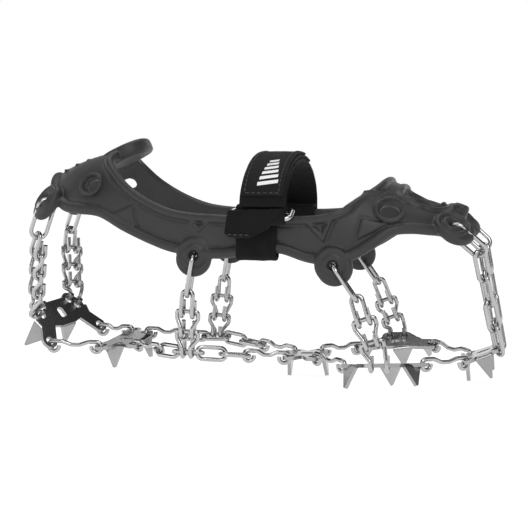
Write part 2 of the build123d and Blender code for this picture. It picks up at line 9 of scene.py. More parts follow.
import bpy
import numpy as np
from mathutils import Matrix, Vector


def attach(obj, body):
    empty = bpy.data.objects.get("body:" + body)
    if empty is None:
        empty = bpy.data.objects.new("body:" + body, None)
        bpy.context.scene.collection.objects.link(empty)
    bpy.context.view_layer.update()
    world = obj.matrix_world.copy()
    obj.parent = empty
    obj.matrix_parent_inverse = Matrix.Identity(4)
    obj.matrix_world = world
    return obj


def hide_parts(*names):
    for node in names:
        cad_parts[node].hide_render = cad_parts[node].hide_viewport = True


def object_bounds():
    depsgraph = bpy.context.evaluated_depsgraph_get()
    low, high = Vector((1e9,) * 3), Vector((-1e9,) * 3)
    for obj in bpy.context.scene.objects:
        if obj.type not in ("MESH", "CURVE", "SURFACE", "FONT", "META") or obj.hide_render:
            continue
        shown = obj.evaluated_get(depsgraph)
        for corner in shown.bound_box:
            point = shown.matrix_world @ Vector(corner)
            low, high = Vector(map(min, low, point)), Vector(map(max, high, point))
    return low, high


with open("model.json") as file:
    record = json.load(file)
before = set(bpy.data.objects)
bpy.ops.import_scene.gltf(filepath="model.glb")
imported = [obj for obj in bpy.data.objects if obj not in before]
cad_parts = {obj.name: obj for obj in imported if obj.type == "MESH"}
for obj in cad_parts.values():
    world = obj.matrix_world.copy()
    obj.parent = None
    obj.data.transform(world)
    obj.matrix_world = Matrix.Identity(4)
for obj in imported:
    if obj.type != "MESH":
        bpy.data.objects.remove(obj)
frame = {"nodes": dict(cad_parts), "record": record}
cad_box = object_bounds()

MM = 0.001
NODES = frame["nodes"]
HOLDER = "harness_and_strap"


# ---------------------------------------------------------------- camera, light, floor

TARGET = Vector((0, 0, 0.047))
BACK = Vector((0.207, -0.974, 0.087))  # from the target towards the camera
DISTANCE = 0.740
LENS = 90.1
SENSOR = 36
# Height in the world's gradient (0 to 1) and grey between its white foot and its pale top
WORLD_STOPS = ((0.20, 1.0), (0.34, 0.85), (0.44, 0.03), (0.70, 0.03), (0.84, 0.55))
FLOOR_HALF = 6.0
FLOOR_DROP = 0.0006  # gap between the lowest spike and the floor


def make_camera():
    data = bpy.data.cameras.new("camera")
    data.lens = LENS
    data.sensor_width = SENSOR
    data.clip_start = 0.01
    camera = bpy.data.objects.new("camera", data)
    camera.location = TARGET + BACK.normalized() * DISTANCE
    camera.rotation_euler = (-BACK).to_track_quat("-Z", "Y").to_euler()
    bpy.context.scene.collection.objects.link(camera)
    bpy.context.scene.camera = camera


def make_softbox(name, place, size, power):
    data = bpy.data.lights.new(name, "AREA")
    data.shape = "RECTANGLE"
    data.size, data.size_y = size
    data.energy = power
    light = bpy.data.objects.new(name, data)
    light.location = place
    light.rotation_euler = (TARGET - Vector(place)).to_track_quat("-Z", "Y").to_euler()
    bpy.context.scene.collection.objects.link(light)


def make_studio():
    """White surroundings with a dark band above the object, which the steel reflects."""
    world = bpy.data.worlds.new("studio")
    world.use_nodes = True
    bpy.context.scene.world = world
    tree = world.node_tree
    coords = tree.nodes.new("ShaderNodeTexCoord")
    split = tree.nodes.new("ShaderNodeSeparateXYZ")
    ramp = tree.nodes.new("ShaderNodeValToRGB")
    ramp.color_ramp.interpolation = "EASE"
    stops = ramp.color_ramp.elements
    stops[0].position, stops[0].color = 0.0, (1, 1, 1, 1)
    stops[1].position, stops[1].color = 1.0, (0.6, 0.6, 0.6, 1)
    for place, shade in WORLD_STOPS:
        stop = stops.new(place)
        stop.color = (shade, shade, shade, 1)
    tree.links.new(coords.outputs["Generated"], split.inputs[0])
    tree.links.new(split.outputs["Z"], ramp.inputs[0])
    tree.links.new(ramp.outputs[0], tree.nodes["Background"].inputs[0])
    make_softbox("key", (0.25, -0.75, 0.75), (0.7, 0.5), 4.2)
    make_softbox("top", (-0.15, 0.25, 0.95), (0.9, 0.6), 2.8)
    make_softbox("fill", (-0.8, -0.35, 0.30), (0.4, 0.6), 0.9)
    view = bpy.context.scene.view_settings
    view.view_transform = "Standard"
    view.look = "None"


def make_floor():
    """Pale floor that glows a little, so that it meets the white surroundings without a line."""
    half, z = FLOOR_HALF, cad_box[0][2] - FLOOR_DROP
    corners = [(-half, -half, z), (half, -half, z), (half, half, z), (-half, half, z)]
    mesh = bpy.data.meshes.new("floor")
    mesh.from_pydata(corners, [], [(0, 1, 2, 3)])
    floor = bpy.data.objects.new("floor", mesh)
    bpy.context.scene.collection.objects.link(floor)
    shader = Shader("studio_floor", (0.40, 0.40, 0.40), 0.8)
    shader.set("Specular IOR Level", 0.1)
    shader.set("Emission Color", (1, 1, 1, 1))
    shader.set("Emission Strength", 0.84)
    mesh.materials.append(shader.material)


# ---------------------------------------------------------------- materials


class Shader:
    """A principled material with short helpers for the nodes in front of it."""

    def __init__(self, name, colour, roughness, metallic=0.0):
        self.material = bpy.data.materials.new(name)
        self.material.use_nodes = True
        self.tree = self.material.node_tree
        self.base = self.tree.nodes["Principled BSDF"]
        self.set("Base Color", (*colour, 1))
        self.set("Roughness", roughness)
        self.set("Metallic", metallic)

    def set(self, socket, value):
        self.base.inputs[socket].default_value = value

    def node(self, kind, inputs=None, **settings):
        """Add a node; inputs hold values or other nodes' output sockets."""
        made = self.tree.nodes.new(kind)
        for name, value in settings.items():
            setattr(made, name, value)
        for name, value in (inputs or {}).items():
            if isinstance(value, bpy.types.NodeSocket):
                self.tree.links.new(value, made.inputs[name])
            else:
                made.inputs[name].default_value = value
        return made

    def coords(self, kind="Object", scale=(1, 1, 1)):
        source = self.node("ShaderNodeTexCoord").outputs[kind]
        return self.node("ShaderNodeMapping", {"Vector": source, "Scale": scale}).outputs[0]

    def noise(self, vector, scale, detail=3.0, roughness=0.5):
        inputs = {"Vector": vector, "Scale": scale, "Detail": detail, "Roughness": roughness}
        return self.node("ShaderNodeTexNoise", inputs).outputs["Fac"]

    def ranged(self, value, low, high, start=0.0, end=1.0):
        inputs = {"Value": value, "From Min": start, "From Max": end, "To Min": low, "To Max": high}
        return self.node("ShaderNodeMapRange", inputs).outputs[0]

    def mixed(self, factor, first, second):
        mix = self.node("ShaderNodeMix", data_type="RGBA")
        for index, value in ((0, factor), (6, first), (7, second)):
            socket = mix.inputs[index]
            if isinstance(value, bpy.types.NodeSocket):
                self.tree.links.new(value, socket)
            elif isinstance(value, tuple):
                socket.default_value = (*value, 1)
            else:
                socket.default_value = value
        return mix.outputs[2]

    def maths(self, operation, first, second=0.0):
        return self.node("ShaderNodeMath", {0: first, 1: second}, operation=operation).outputs[0]

    def link(self, output, socket):
        self.tree.links.new(output, self.base.inputs[socket])

    def bump(self, height, distance, strength=1.0):
        inputs = {"Height": height, "Distance": distance, "Strength": strength}
        self.link(self.node("ShaderNodeBump", inputs).outputs[0], "Normal")


def rubber_material():
    """Matte moulded elastomer: fine mould grain, faint mottling and patches that shine more."""
    shader = Shader("harness_elastomer", (0.022, 0.022, 0.0215), 0.50)
    place = shader.coords()
    mottle = shader.noise(place, 60, 4)
    shader.link(shader.mixed(mottle, (0.017, 0.017, 0.0165), (0.026, 0.026, 0.025)), "Base Color")
    shader.link(shader.ranged(shader.noise(place, 300, 3), 0.40, 0.56), "Roughness")
    shader.bump(shader.noise(place, 2600, 2), 0.00006, 0.5)
    shader.set("Specular IOR Level", 0.42)
    shader.set("Sheen Weight", 0.08)
    shader.set("Sheen Roughness", 0.4)
    return shader.material


def webbing_material(name, pitch, dark, light):
    """Ribbed twill weave on the ribbon's own UV, which is in metres along and across."""
    shader = Shader(name, dark, 0.85)
    threads = shader.coords("UV")
    split = shader.node("ShaderNodeSeparateXYZ", {0: threads})
    along = shader.maths("MULTIPLY", split.outputs["X"], 2 * math.pi / (pitch * 1.15))
    across = shader.maths("MULTIPLY", split.outputs["Y"], 2 * math.pi / pitch)
    weft = shader.maths("SINE", shader.maths("ADD", along, shader.maths("MULTIPLY", across, 0.5)))
    warp = shader.maths("SINE", across)
    weave = shader.maths("ADD", shader.maths("MULTIPLY", weft, 0.6), warp)
    # Colour follows the weave's height: painted highlight on the raised threads and painted shade
    # in the hollows between them; a noise makes the painted highlight stronger or weaker in
    # patches.
    patchy_thread_highlight = shader.noise(shader.coords(), 140, 4)
    height = shader.ranged(weave, 0, 1, -1.6, 1.6)
    tone = shader.maths("MULTIPLY", height, shader.ranged(patchy_thread_highlight, 0.5, 1.3))
    shader.link(shader.mixed(tone, dark, light), "Base Color")
    fuzz = shader.noise(shader.coords(), 5200, 2)
    shader.bump(shader.maths("ADD", height, shader.maths("MULTIPLY", fuzz, 0.6)), 0.00022, 0.9)
    shader.set("Specular IOR Level", 0.15)
    shader.set("Sheen Weight", 0.04)
    shader.set("Sheen Roughness", 0.5)
    return shader.material


def print_material():
    """Flexible white print: slightly uneven, with fine cracks of wear."""
    shader = Shader("white_print", (0.8, 0.8, 0.8), 0.5)
    grain = shader.noise(shader.coords(), 1800, 4, 0.6)
    shader.link(shader.mixed(grain, (0.70, 0.70, 0.69), (0.86, 0.86, 0.85)), "Base Color")
    shader.bump(grain, 0.00008, 0.5)
    return shader.material


def thread_material():
    shader = Shader("sewing_thread", (0.05, 0.05, 0.05), 0.7)
    twist = shader.noise(shader.coords(), 3000, 2)
    shader.link(shader.mixed(twist, (0.03, 0.03, 0.03), (0.09, 0.09, 0.09)), "Base Color")
    shader.bump(twist, 0.00006, 0.6)
    return shader.material


def steel_material(name, tone, rough, brush=(1, 1, 1)):
    """Stainless steel: tumbled or brushed grain and a faint stain."""
    shader = Shader(name, (tone, tone, tone * 0.99), rough, metallic=1.0)
    place = shader.coords()
    stain = shader.noise(place, 90, 5, 0.6)
    shade = shader.mixed(stain, (tone * 0.80,) * 3, (min(1.0, tone * 1.12),) * 3)
    shader.link(shade, "Base Color")
    brushed = shader.noise(shader.coords("Object", brush), 1400, 4, 0.7)
    shader.link(shader.ranged(brushed, rough * 0.65, rough * 1.5), "Roughness")
    shader.bump(brushed, 0.00003, 0.8)
    return shader.material


# ---------------------------------------------------------------- mesh helpers


def add_object(name, points, faces, material=None, uv=None, smooth=True):
    """Mesh object from points in millimetres; uv has one pair for each point, in metres."""
    mesh = bpy.data.meshes.new(name)
    mesh.from_pydata([tuple(p) for p in np.asarray(points) * MM], [], faces)
    if uv is not None:
        layer = mesh.uv_layers.new(name="uv")
        corner = np.zeros(len(mesh.loops), dtype=np.int32)
        mesh.loops.foreach_get("vertex_index", corner)
        layer.data.foreach_set("uv", np.asarray(uv)[corner].ravel())
    mesh.polygons.foreach_set("use_smooth", [smooth] * len(mesh.polygons))
    if material:
        mesh.materials.append(material)
    mesh.update()
    made = bpy.data.objects.new(name, mesh)
    bpy.context.scene.collection.objects.link(made)
    return made


def grid_faces(rows, columns, close_rows=False, close_columns=False, start=0):
    """Quads of a rows x columns grid of points."""
    faces = []
    for r in range(rows if close_rows else rows - 1):
        for c in range(columns if close_columns else columns - 1):
            a, b = r * columns, (r + 1) % rows * columns
            d = (c + 1) % columns
            faces.append((start + a + c, start + a + d, start + b + d, start + b + c))
    return faces


def end_caps(count, ring):
    """Faces over the first and the last ring of a solid that has count points."""
    return [tuple(range(ring)), tuple(range(count - 1, count - 1 - ring, -1))]


def unit(vectors):
    return vectors / np.linalg.norm(vectors, axis=-1, keepdims=True)


def reach_along(path):
    """Length of a path from its start to each of its points."""
    steps = np.linalg.norm(np.diff(path, axis=0), axis=1)
    return np.concatenate([[0], np.cumsum(steps)])


def spread(marks, reach, path):
    """Points of a path at the lengths given by marks."""
    return np.stack([np.interp(marks, reach, path[:, i]) for i in range(path.shape[1])], axis=1)


def even_path(path, samples):
    """The same path with evenly spaced points."""
    reach = reach_along(path)
    return spread(np.linspace(0, reach[-1], samples), reach, path)


def catmull_rom(p0, p1, p2, p3, t):
    return 0.5 * (2 * p1 + (p2 - p0) * t + (2 * p0 - 5 * p1 + 4 * p2 - p3) * t ** 2
                  + (3 * p1 - p0 - 3 * p2 + p3) * t ** 3)


def smooth_curve(points, samples, closed=False):
    """Catmull-Rom curve through points, evenly spaced along its length."""
    points = np.asarray(points, float)
    if closed:
        padded = np.vstack([points[-1], points, points[:2]])
    else:
        ends = 2 * points[0] - points[1], 2 * points[-1] - points[-2]
        padded = np.vstack([ends[0], points, ends[1]])
    t = np.linspace(0, 1, 24, endpoint=False)[:, None]
    pieces = [catmull_rom(*four, t) for four in zip(padded, padded[1:], padded[2:], padded[3:])]
    fine = np.vstack(pieces + [padded[-2:-1]])
    reach = reach_along(fine)
    return spread(np.linspace(0, reach[-1], samples, endpoint=not closed), reach, fine)


TINY = 1e-9  # keeps a tube that runs straight up from losing its side direction


def frame_axes(normal):
    """Two directions square to a normal and to each other."""
    normal = unit(np.asarray(normal, float))
    side = unit(np.cross(normal, (0.31, -0.17, 0.93) if abs(normal[2]) < 0.9 else (1, 0, 0)))
    return side, np.cross(normal, side), normal


def lathe(centre, normal, profile, steps=64):
    """Closed ring of revolution: profile holds (radius, height) pairs round its section."""
    side, up, normal = frame_axes(normal)
    turn = np.linspace(0, 2 * math.pi, steps, endpoint=False)
    rim = np.cos(turn)[:, None] * side + np.sin(turn)[:, None] * up
    profile = np.asarray(profile, float)
    points = (np.asarray(centre, float) + rim[:, None, :] * profile[None, :, :1]
              + normal * profile[None, :, 1:])
    return points.reshape(-1, 3), grid_faces(steps, len(profile), True, True)


def tube(path, radius, sides=14, closed=False):
    """Round bead along a path, closed at its ends when the path is open; one radius or many."""
    path = np.asarray(path, float)
    tangent = unit(np.gradient(path, axis=0))
    if closed:
        tangent = unit(np.roll(path, -1, axis=0) - np.roll(path, 1, axis=0))
    up = unit(np.cross(tangent, np.cross((0, 0, 1.0), tangent) + TINY))
    side = np.cross(tangent, up)
    turn = np.linspace(0, 2 * math.pi, sides, endpoint=False)
    size = np.broadcast_to(radius, len(path))
    ring = (np.cos(turn)[None, :, None] * side[:, None, :]
            + np.sin(turn)[None, :, None] * up[:, None, :])
    points = (path[:, None, :] + ring * size[:, None, None]).reshape(-1, 3)
    faces = grid_faces(len(path), sides, closed, True)
    if not closed:
        faces += end_caps(len(points), sides)
    return points, faces


# ---------------------------------------------------------------- harness

# Band sections on the far side, from the heel's centre to the toe's centre: lower edge, middle
# and upper edge
BAND = np.array([
    ((-122, 0, 94.5), (-104, 0, 104), (-76, 0, 111)),
    ((-118, 17, 87), (-103, 14, 102), (-78, 13, 109.5)),
    ((-107, 32, 78.5), (-98, 28, 95), (-80, 23.5, 106.5)),
    ((-97, 36.5, 76.5), (-89, 33.5, 91), (-77, 29.5, 101)),
    ((-84, 37.5, 74.5), (-78, 36, 86), (-69, 34.5, 92.5)),
    ((-70, 38.5, 67.5), (-65, 38.8, 77), (-58, 38.5, 85.5)),
    ((-54, 39.5, 60), (-50, 40.5, 71), (-45, 40.5, 79.5)),
    ((-40, 41, 56), (-37, 42, 67), (-33, 41.5, 77.3)),
    ((-18, 43, 53.5), (-17, 43.6, 65), (-15, 43, 76.3)),
    ((0, 43.7, 55.5), (0, 44.3, 66), (1, 43.8, 76)),
    ((17, 44, 57), (17, 44.7, 66.5), (16, 44, 76)),
    ((33, 45, 52.5), (32, 45.4, 64.5), (31, 44.5, 76.2)),
    ((46, 46.5, 51.5), (45, 46.4, 64.5), (42, 45, 77.5)),
    ((57, 46, 55), (55, 45.6, 67), (51, 43.5, 81)),
    ((67, 44.5, 61), (65, 43.5, 73), (61, 35.5, 88)),
    ((76, 42, 67), (76, 39.5, 77), (76, 29, 86)),
    ((86, 38, 68.5), (87, 35.5, 76), (88, 23, 83)),
    ((97, 33.5, 67), (98, 29, 75), (96.5, 20.5, 80)),
    ((108, 22, 65), (107, 18, 74), (101, 12, 80.5)),
    ((113, 0, 65), (111, 0, 75), (102, 0, 81.5)),
], float)
# Bridge over the toes: rear edge and front edge, from the band to the centre
BRIDGE = np.array([
    ((60, 34.8, 87.2), (77, 28.8, 85.2)),
    ((66, 27, 91), (80, 23, 87)),
    ((68.5, 14, 93.7), (79.5, 13, 90)),
    ((69, 0, 94.5), (79, 0, 91)),
], float)
BAND_THICKNESS = 3.4
BRIDGE_START, BRIDGE_END = 14, 16  # band stations that the bridge grows from
BRIDGE_ROOT = ((52, 22, 82), (84, 44, 95))  # box where the bridge blends into the band
BRIDGE_X = 67  # middle of the stretch of upper edge that has no furrow

# Eyelet lugs on the far side: hole centre, outward normal, direction that its link hangs in
LUGS = [
    ((-117, 26, 83), (-0.55, 0.58, 0.60), (-7, 0, -20)),
    ((-29, 42, 55), (0.05, 1, 0.08), (-4, 0, -22.4)),
    ((46.3, 47, 51.3), (0.05, 1, 0.08), (12.7, 0, -18.3)),
    ((106, 29, 71), (0.30, 0.55, 0.78), (17, -4, -15)),
]
# Half-section of a lug's rings and section of its foot, as (radius, height) pairs
LUG_PROFILE = [(1.2, 0), (2.6, 2.2), (3.4, 3.0), (4.4, 3.1), (5.2, 2.8), (5.7, 1.5), (6.3, 1.4),
               (6.9, 2.6), (7.9, 3.0), (8.8, 2.6), (9.5, 1.4), (9.7, 0)]
LUG_FOOT = [(1.2, -2.5), (8.6, -2.5), (9.4, -1.6), (9.7, 0), (9.4, 1.6), (8.6, 2.5), (1.2, 2.5)]
LUG_DROPS = (3.0, 2.2, 1.9, 3.8)  # how far each lug's rounded foot reaches below its ring
EYELET_RADIUS = 2.6
EYELET_WAIST = 1.45  # radius half-way through a lug, where the wire fills it
CUT_REACH = 9  # how far the hole cutters stand out on both sides
AXIS = 0.01  # radius that stands for a cutter's axis
# Vent holes in the band: centre, outward normal, radius
VENTS = [((-89, 34.5, 92), (-0.25, 0.85, 0.45), 5.2), ((75, 39, 80), (0.1, 0.8, 0.6), 6.2)]
VENT_STEP = 1.1  # width of the step inside a vent, and radius of the bead round it

# Grip ridges across the heel's roof and the toe: x, z, half their length
HEEL_RIDGES = ((-113, 98.9, 10), (-106, 102.1, 11), (-99, 104.7, 11), (-92, 106.5, 10))
TOE_RIDGES = ((103.4, 80.2, 4.5), (99.6, 81.2, 4.5))


def smooth_stations(stations, samples):
    """Sections resampled on smooth curves, mirrored at both ends so that the halves join."""
    mirror = np.array((1, -1, 1.0))
    padded = np.concatenate([stations[1:2] * mirror, stations, stations[-2:-1] * mirror])
    place = np.linspace(0, len(stations) - 1, samples)
    index = np.minimum(place.astype(int), len(stations) - 2)
    return catmull_rom(*(padded[index + step] for step in range(4)), (place - index)[:, None, None])


def band_surface(samples, across):
    """Points and outward normals of the far half's outer surface, with parabolic sections."""
    rails = smooth_stations(BAND, samples)
    t = np.linspace(0, 1, across)[None, :, None]
    low, middle, high = (rails[:, None, i] for i in range(3))
    points = low * (1 - t) * (1 - 2 * t) + middle * 4 * t * (1 - t) + high * t * (2 * t - 1)
    return points, surface_normals(points)


def surface_normals(points):
    normals = unit(np.cross(np.gradient(points, axis=0), np.gradient(points, axis=1)))
    inside = np.array((0, 0, 60.0))
    outward = np.sign(np.sum(normals * (points - inside), axis=-1).mean())
    return normals * outward


def inside_depth(x, z, corners):
    """How far points are inside a triangle given by its corners; negative outside."""
    corners = np.asarray(corners, float)
    depth = np.full(x.shape, 1e9)
    middle = corners.mean(axis=0)
    for a, b in zip(corners, np.roll(corners, -1, axis=0)):
        normal = np.array((-(b - a)[1], (b - a)[0])) / np.linalg.norm(b - a)
        if np.dot(middle - a, normal) < 0:
            normal = -normal
        depth = np.minimum(depth, (x - a[0]) * normal[0] + (z - a[1]) * normal[1])
    return depth


# Raised triangles on the band's side, as x and z of their corners, each with a sunk centre
PENDANTS = [
    [(-36.5, 77), (-26.5, 66.5), (-13.5, 77)],
    [(27, 76.5), (41.6, 62.5), (48.5, 80)],
]
# Facets that stand up beside the lower edge's bead
PEAKS = [
    [(-78, 75.5), (-64, 81.5), (-61.5, 66)],
    [(58, 64), (60.5, 75.5), (76, 73)],
]


def groove(distance, depth=0.8):
    """Rounded furrow, deepest where the distance is zero."""
    return depth * np.exp(-(distance / 0.6) ** 2)


def relief(points):
    """Height of the moulded pattern on the outer surface, in millimetres."""
    x, z = points[..., 0], points[..., 2]
    height = np.zeros(x.shape)
    for corners in PENDANTS:
        depth = inside_depth(x, z, corners)
        height = np.maximum(height, np.clip(depth / 0.8, 0, 1) * 1.7)
        height -= np.clip((depth - 1.9) / 2.0, 0, 1) * 2.2 + groove(depth + 0.5)
    for corners in PEAKS:
        depth = inside_depth(x, z, corners)
        height += np.clip(depth / 0.8, 0, 1) - groove(depth + 0.5)
    return height


def both_sides(points, faces):
    """A far-side solid and its mirror image."""
    mirrored = points * (1, -1, 1)
    count = len(points)
    flipped = [tuple(count + i for i in reversed(face)) for face in faces]
    return np.vstack([points, mirrored]), list(faces) + flipped


def whole_ring(half):
    """A far half and its mirror image, in one loop."""
    return np.concatenate([half, half[-2:0:-1] * (1, -1, 1)])


def band_solid():
    """The band with its relief and a furrow inside each edge's bead."""
    samples, across = ((620, 80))
    outer, normals = band_surface(samples, across)
    height = relief(outer)
    steps = np.linalg.norm(np.diff(outer, axis=1), axis=-1)
    reach = np.concatenate([np.zeros((samples, 1)), np.cumsum(steps, axis=1)], axis=1)
    off_bridge = np.clip(np.abs(outer[:, -1:, 0] - BRIDGE_X) / 6 - 2, 0, 1)
    height -= groove(reach - 5.9, 0.9)
    height -= groove(reach[:, -1:] - reach - 4.9, 0.8 * off_bridge)
    raised = outer + normals * height[..., None]
    inner = (outer - normals * BAND_THICKNESS)[:, ::-1]
    ring = whole_ring(np.concatenate([raised, inner], axis=1))
    return ring.reshape(-1, 3), grid_faces(len(ring), ring.shape[1], True, True)


def bridge_solid():
    samples, across = 70, 26
    edges = smooth_stations(BRIDGE, samples)
    whole = np.concatenate([edges, edges[-2::-1] * (1, -1, 1)])
    t = np.linspace(0, 1, across)[None, :, None]
    outer = whole[:, None, 0] * (1 - t) + whole[:, None, 1] * t
    normals = unit(np.cross(np.gradient(outer, axis=0), np.gradient(outer, axis=1)))
    normals *= np.sign(normals[..., 2:].mean())
    section = np.concatenate([outer, (outer - normals * BAND_THICKNESS)[:, ::-1]], axis=1)
    rows, columns = section.shape[:2]
    faces = grid_faces(rows, columns, False, True) + end_caps(rows * columns, columns)
    return section.reshape(-1, 3), faces


def edge_beads():
    """Beads round the lower edge, the ankle opening and the toe opening."""
    samples, across = 420, 61
    outer, normals = band_surface(samples, across)
    width = np.linalg.norm(np.diff(outer, axis=1), axis=-1).sum(axis=1)

    def line(from_edge, upper, sink):
        """Path at one distance from an edge, sunk into the band."""
        share = np.clip(from_edge / width, 0, 0.5)
        column = (across - 1) * ((1 - share) if upper else share)
        index = column.astype(int).clip(0, across - 2)
        rest = (column - index)[:, None]
        row = np.arange(samples)
        places = outer[row, index] * (1 - rest) + outer[row, index + 1] * rest
        return places - normals[row, index] * sink

    beads = [tube(whole_ring(line(2.4, False, 0.7)), 3.0, closed=True)]
    upper = line(2.0, True, 0.5)
    per_station = (samples - 1) / (len(BAND) - 1)
    ankle = upper[: int(BRIDGE_START * per_station) - 4]
    toes = upper[int(BRIDGE_END * per_station):]
    rear, front = BRIDGE[:, 0] + (1.4, 0, -0.7), BRIDGE[:, 1] + (-1.2, 0, -0.5)
    ankle_half = np.vstack([ankle[::8], rear[1:]])
    toes_half = np.vstack([front[::-1][:-1], toes[::8], toes[-1:]])
    for half, radius in ((ankle_half, 2.4), (toes_half, 2.0)):
        ring = whole_ring(half)
        beads.append(tube(smooth_curve(ring, 520, closed=True), radius, closed=True))
    return beads


def rounded_slab(centre, x_dir, normal, semi, thickness, edge, power=2.4):
    """Flat pad with a superellipse outline and rounded edges."""
    x_dir, normal = unit(np.asarray(x_dir, float)), unit(np.asarray(normal, float))
    y_dir = np.cross(normal, x_dir)
    turn = np.linspace(0, 2 * math.pi, 72, endpoint=False)
    cosine, sine = np.cos(turn), np.sin(turn)
    shape = np.stack([np.sign(cosine) * np.abs(cosine) ** (2 / power),
                      np.sign(sine) * np.abs(sine) ** (2 / power)], axis=1)
    rings = []
    for angle in np.linspace(-90, 90, 11):
        inset = edge * (1 - math.cos(math.radians(angle)))
        height = (thickness / 2 - edge) * np.sign(angle) + edge * math.sin(math.radians(angle))
        size = shape * (np.asarray(semi) - inset)
        rings.append(np.asarray(centre, float) + size[:, :1] * x_dir + size[:, 1:] * y_dir
                     + height * normal)
    points = np.concatenate(rings)
    faces = grid_faces(len(rings), len(turn), False, True) + end_caps(len(points), len(turn))
    return points, faces


def ridge(x, z, half_length, radius):
    """Short round bar across the harness."""
    ends = np.array([(x, -half_length, z), (x, 0, z), (x, half_length, z)])
    return tube(smooth_curve(ends, 12), radius)


def harness_solids():
    """Overlapping solids that make up the harness: far-side ones come with their mirror image."""
    solids = [band_solid(), bridge_solid(), *edge_beads()]
    rings = LUG_PROFILE + [(r, -h) for r, h in LUG_PROFILE[-2:0:-1]]
    for (centre, normal, hang), drop in zip(LUGS, LUG_DROPS):
        solids.append(both_sides(*lathe(centre, normal, rings)))
        lowered = np.asarray(centre) + unit(np.asarray(hang, float)) * drop
        solids.append(both_sides(*lathe(lowered, normal, LUG_FOOT)))
    turn = np.linspace(0, 2 * math.pi, 14, endpoint=False)
    for centre, normal, radius in VENTS:
        bead = [(radius + 1.0 + VENT_STEP * math.cos(a), 0.5 + VENT_STEP * math.sin(a))
                for a in turn]
        solids.append(both_sides(*lathe(centre, normal, bead)))
    # Pull tab over the heel, and nub at the toe
    solids.append(rounded_slab((-79.5, 0, 108.2), (0.905, 0, 0.425), (-0.425, 0, 0.905),
                               (14.5, 16.5), 8.4, 2.6))
    solids.append(rounded_slab((108.3, 0, 77.2), (0.94, 0, -0.35), (0.35, 0, 0.94),
                               (4.4, 4.6), 9, 1.8))
    solids += [ridge(*place, 1.0) for place in HEEL_RIDGES]
    solids += [ridge(*place, 1.5) for place in TOE_RIDGES]
    return solids


def joined(name, solids):
    """One object from several (points, faces) pairs."""
    points, faces, count = [], [], 0
    for solid_points, solid_faces in solids:
        points.append(solid_points)
        faces += [tuple(count + i for i in face) for face in solid_faces]
        count += len(solid_points)
    return add_object(name, np.vstack(points), faces)


def apply_modifiers(piece):
    """Put the evaluated mesh in place of the piece's own."""
    depsgraph = bpy.context.evaluated_depsgraph_get()
    mesh = bpy.data.meshes.new_from_object(piece.evaluated_get(depsgraph))
    piece.modifiers.clear()
    old = piece.data
    piece.data = mesh
    bpy.data.meshes.remove(old)


def remesh(piece, voxel, smoothing, soft_box=None):
    """Weld overlapping solids into one skin and soften the joins, most of all inside a box."""
    weld = piece.modifiers.new("weld", "REMESH")
    weld.mode = "VOXEL"
    weld.voxel_size = voxel * MM
    soften = piece.modifiers.new("soften", "SMOOTH")
    soften.factor = 0.5
    soften.iterations = smoothing
    apply_modifiers(piece)
    if soft_box:
        points = np.array([vertex.co for vertex in piece.data.vertices]) / MM
        points[:, 1] = np.abs(points[:, 1])
        low, high = (np.array(corner) for corner in soft_box)
        margin = np.minimum(points - low, high - points).min(axis=1)
        group = piece.vertex_groups.new(name="soft")
        for index in np.flatnonzero(margin > 0):
            group.add([int(index)], float(min(1.0, margin[index] / 3)), "REPLACE")
        blend = piece.modifiers.new("blend", "SMOOTH")
        blend.factor = 0.5
        blend.iterations = 30
        blend.vertex_group = "soft"
        apply_modifiers(piece)


def hole_cutter():
    """Plugs for the eyelets, which have a narrow waist, and for the stepped vents."""
    solids = []
    rim = [(EYELET_RADIUS, CUT_REACH), (EYELET_RADIUS, 1.5), (EYELET_WAIST, 1.0)]
    flare = [(AXIS, -CUT_REACH), *((r, -h) for r, h in rim), *rim[::-1], (AXIS, CUT_REACH)]
    for centre, normal, hang in LUGS:
        seat = np.asarray(centre) + unit(np.asarray(hang, float)) * 0.15
        solids.append(both_sides(*lathe(seat, normal, flare, 40)))
    for centre, normal, radius in VENTS:
        inner = radius - VENT_STEP
        stepped = [(AXIS, -CUT_REACH), (inner, -CUT_REACH), (inner, -1.6), (radius, -1.6),
                   (radius, CUT_REACH), (AXIS, CUT_REACH)]
        solids.append(both_sides(*lathe(centre, normal, stepped, 56)))
    cutter = joined("hole_cutter", solids)
    cutter.data.flip_normals()  # these sections run the other way round than the lugs' do
    return cutter


def make_harness(material):
    harness = joined("harness_skin", harness_solids())
    voxel = 0.5
    remesh(harness, voxel, 1, BRIDGE_ROOT)
    cutter = hole_cutter()
    holes = harness.modifiers.new("holes", "BOOLEAN")
    holes.operation = "DIFFERENCE"
    holes.solver = "EXACT"
    holes.object = cutter
    apply_modifiers(harness)
    bpy.data.objects.remove(cutter)
    remesh(harness, voxel, 1)
    harness.data.materials.clear()
    harness.data.materials.append(material)
    harness.data.polygons.foreach_set("use_smooth", [True] * len(harness.data.polygons))
    finish_piece(harness, HOLDER, "harness_rubber", "harness")


# ---------------------------------------------------------------- strap

STRAP_CENTRE = 10.0
NEAR_LOOP_CENTRE = 5.4
NEAR_LOOP_WIDTH = 21.8
FAR_LOOP_WIDTH = 23.6
STRAP_WIDTH = 24.0
WEBBING = 1.8
# Half-ellipses over the instep, as (half-width, height) above ARCH_BASE
ARCH_BASE = 80.0
STRAP_ARCH = (48.1, 25.3)
FLAP_ARCH = (53.0, 27.3)
PAD_ARCH = (54.9, 29.2)
PAD_WIDTH = 22.4
PAD_THICKNESS = 1.5
PAD_SEAMS = (1.0, 19.0)
MARK_CENTRE = STRAP_CENTRE + 2.4
STITCH_ARCH = (55.65, 29.95)  # the pad's outer face
PRINT_ARCH = (55.62, 29.92)
LOOP_INNER, LOOP_OUTER, LOOP_LOW = 38.5, 46.1, 53.5
RING_BAR = (-50.8, 75.2)  # y and z of the bar that the webbing turns up round
FOLD_RADIUS = 2.7


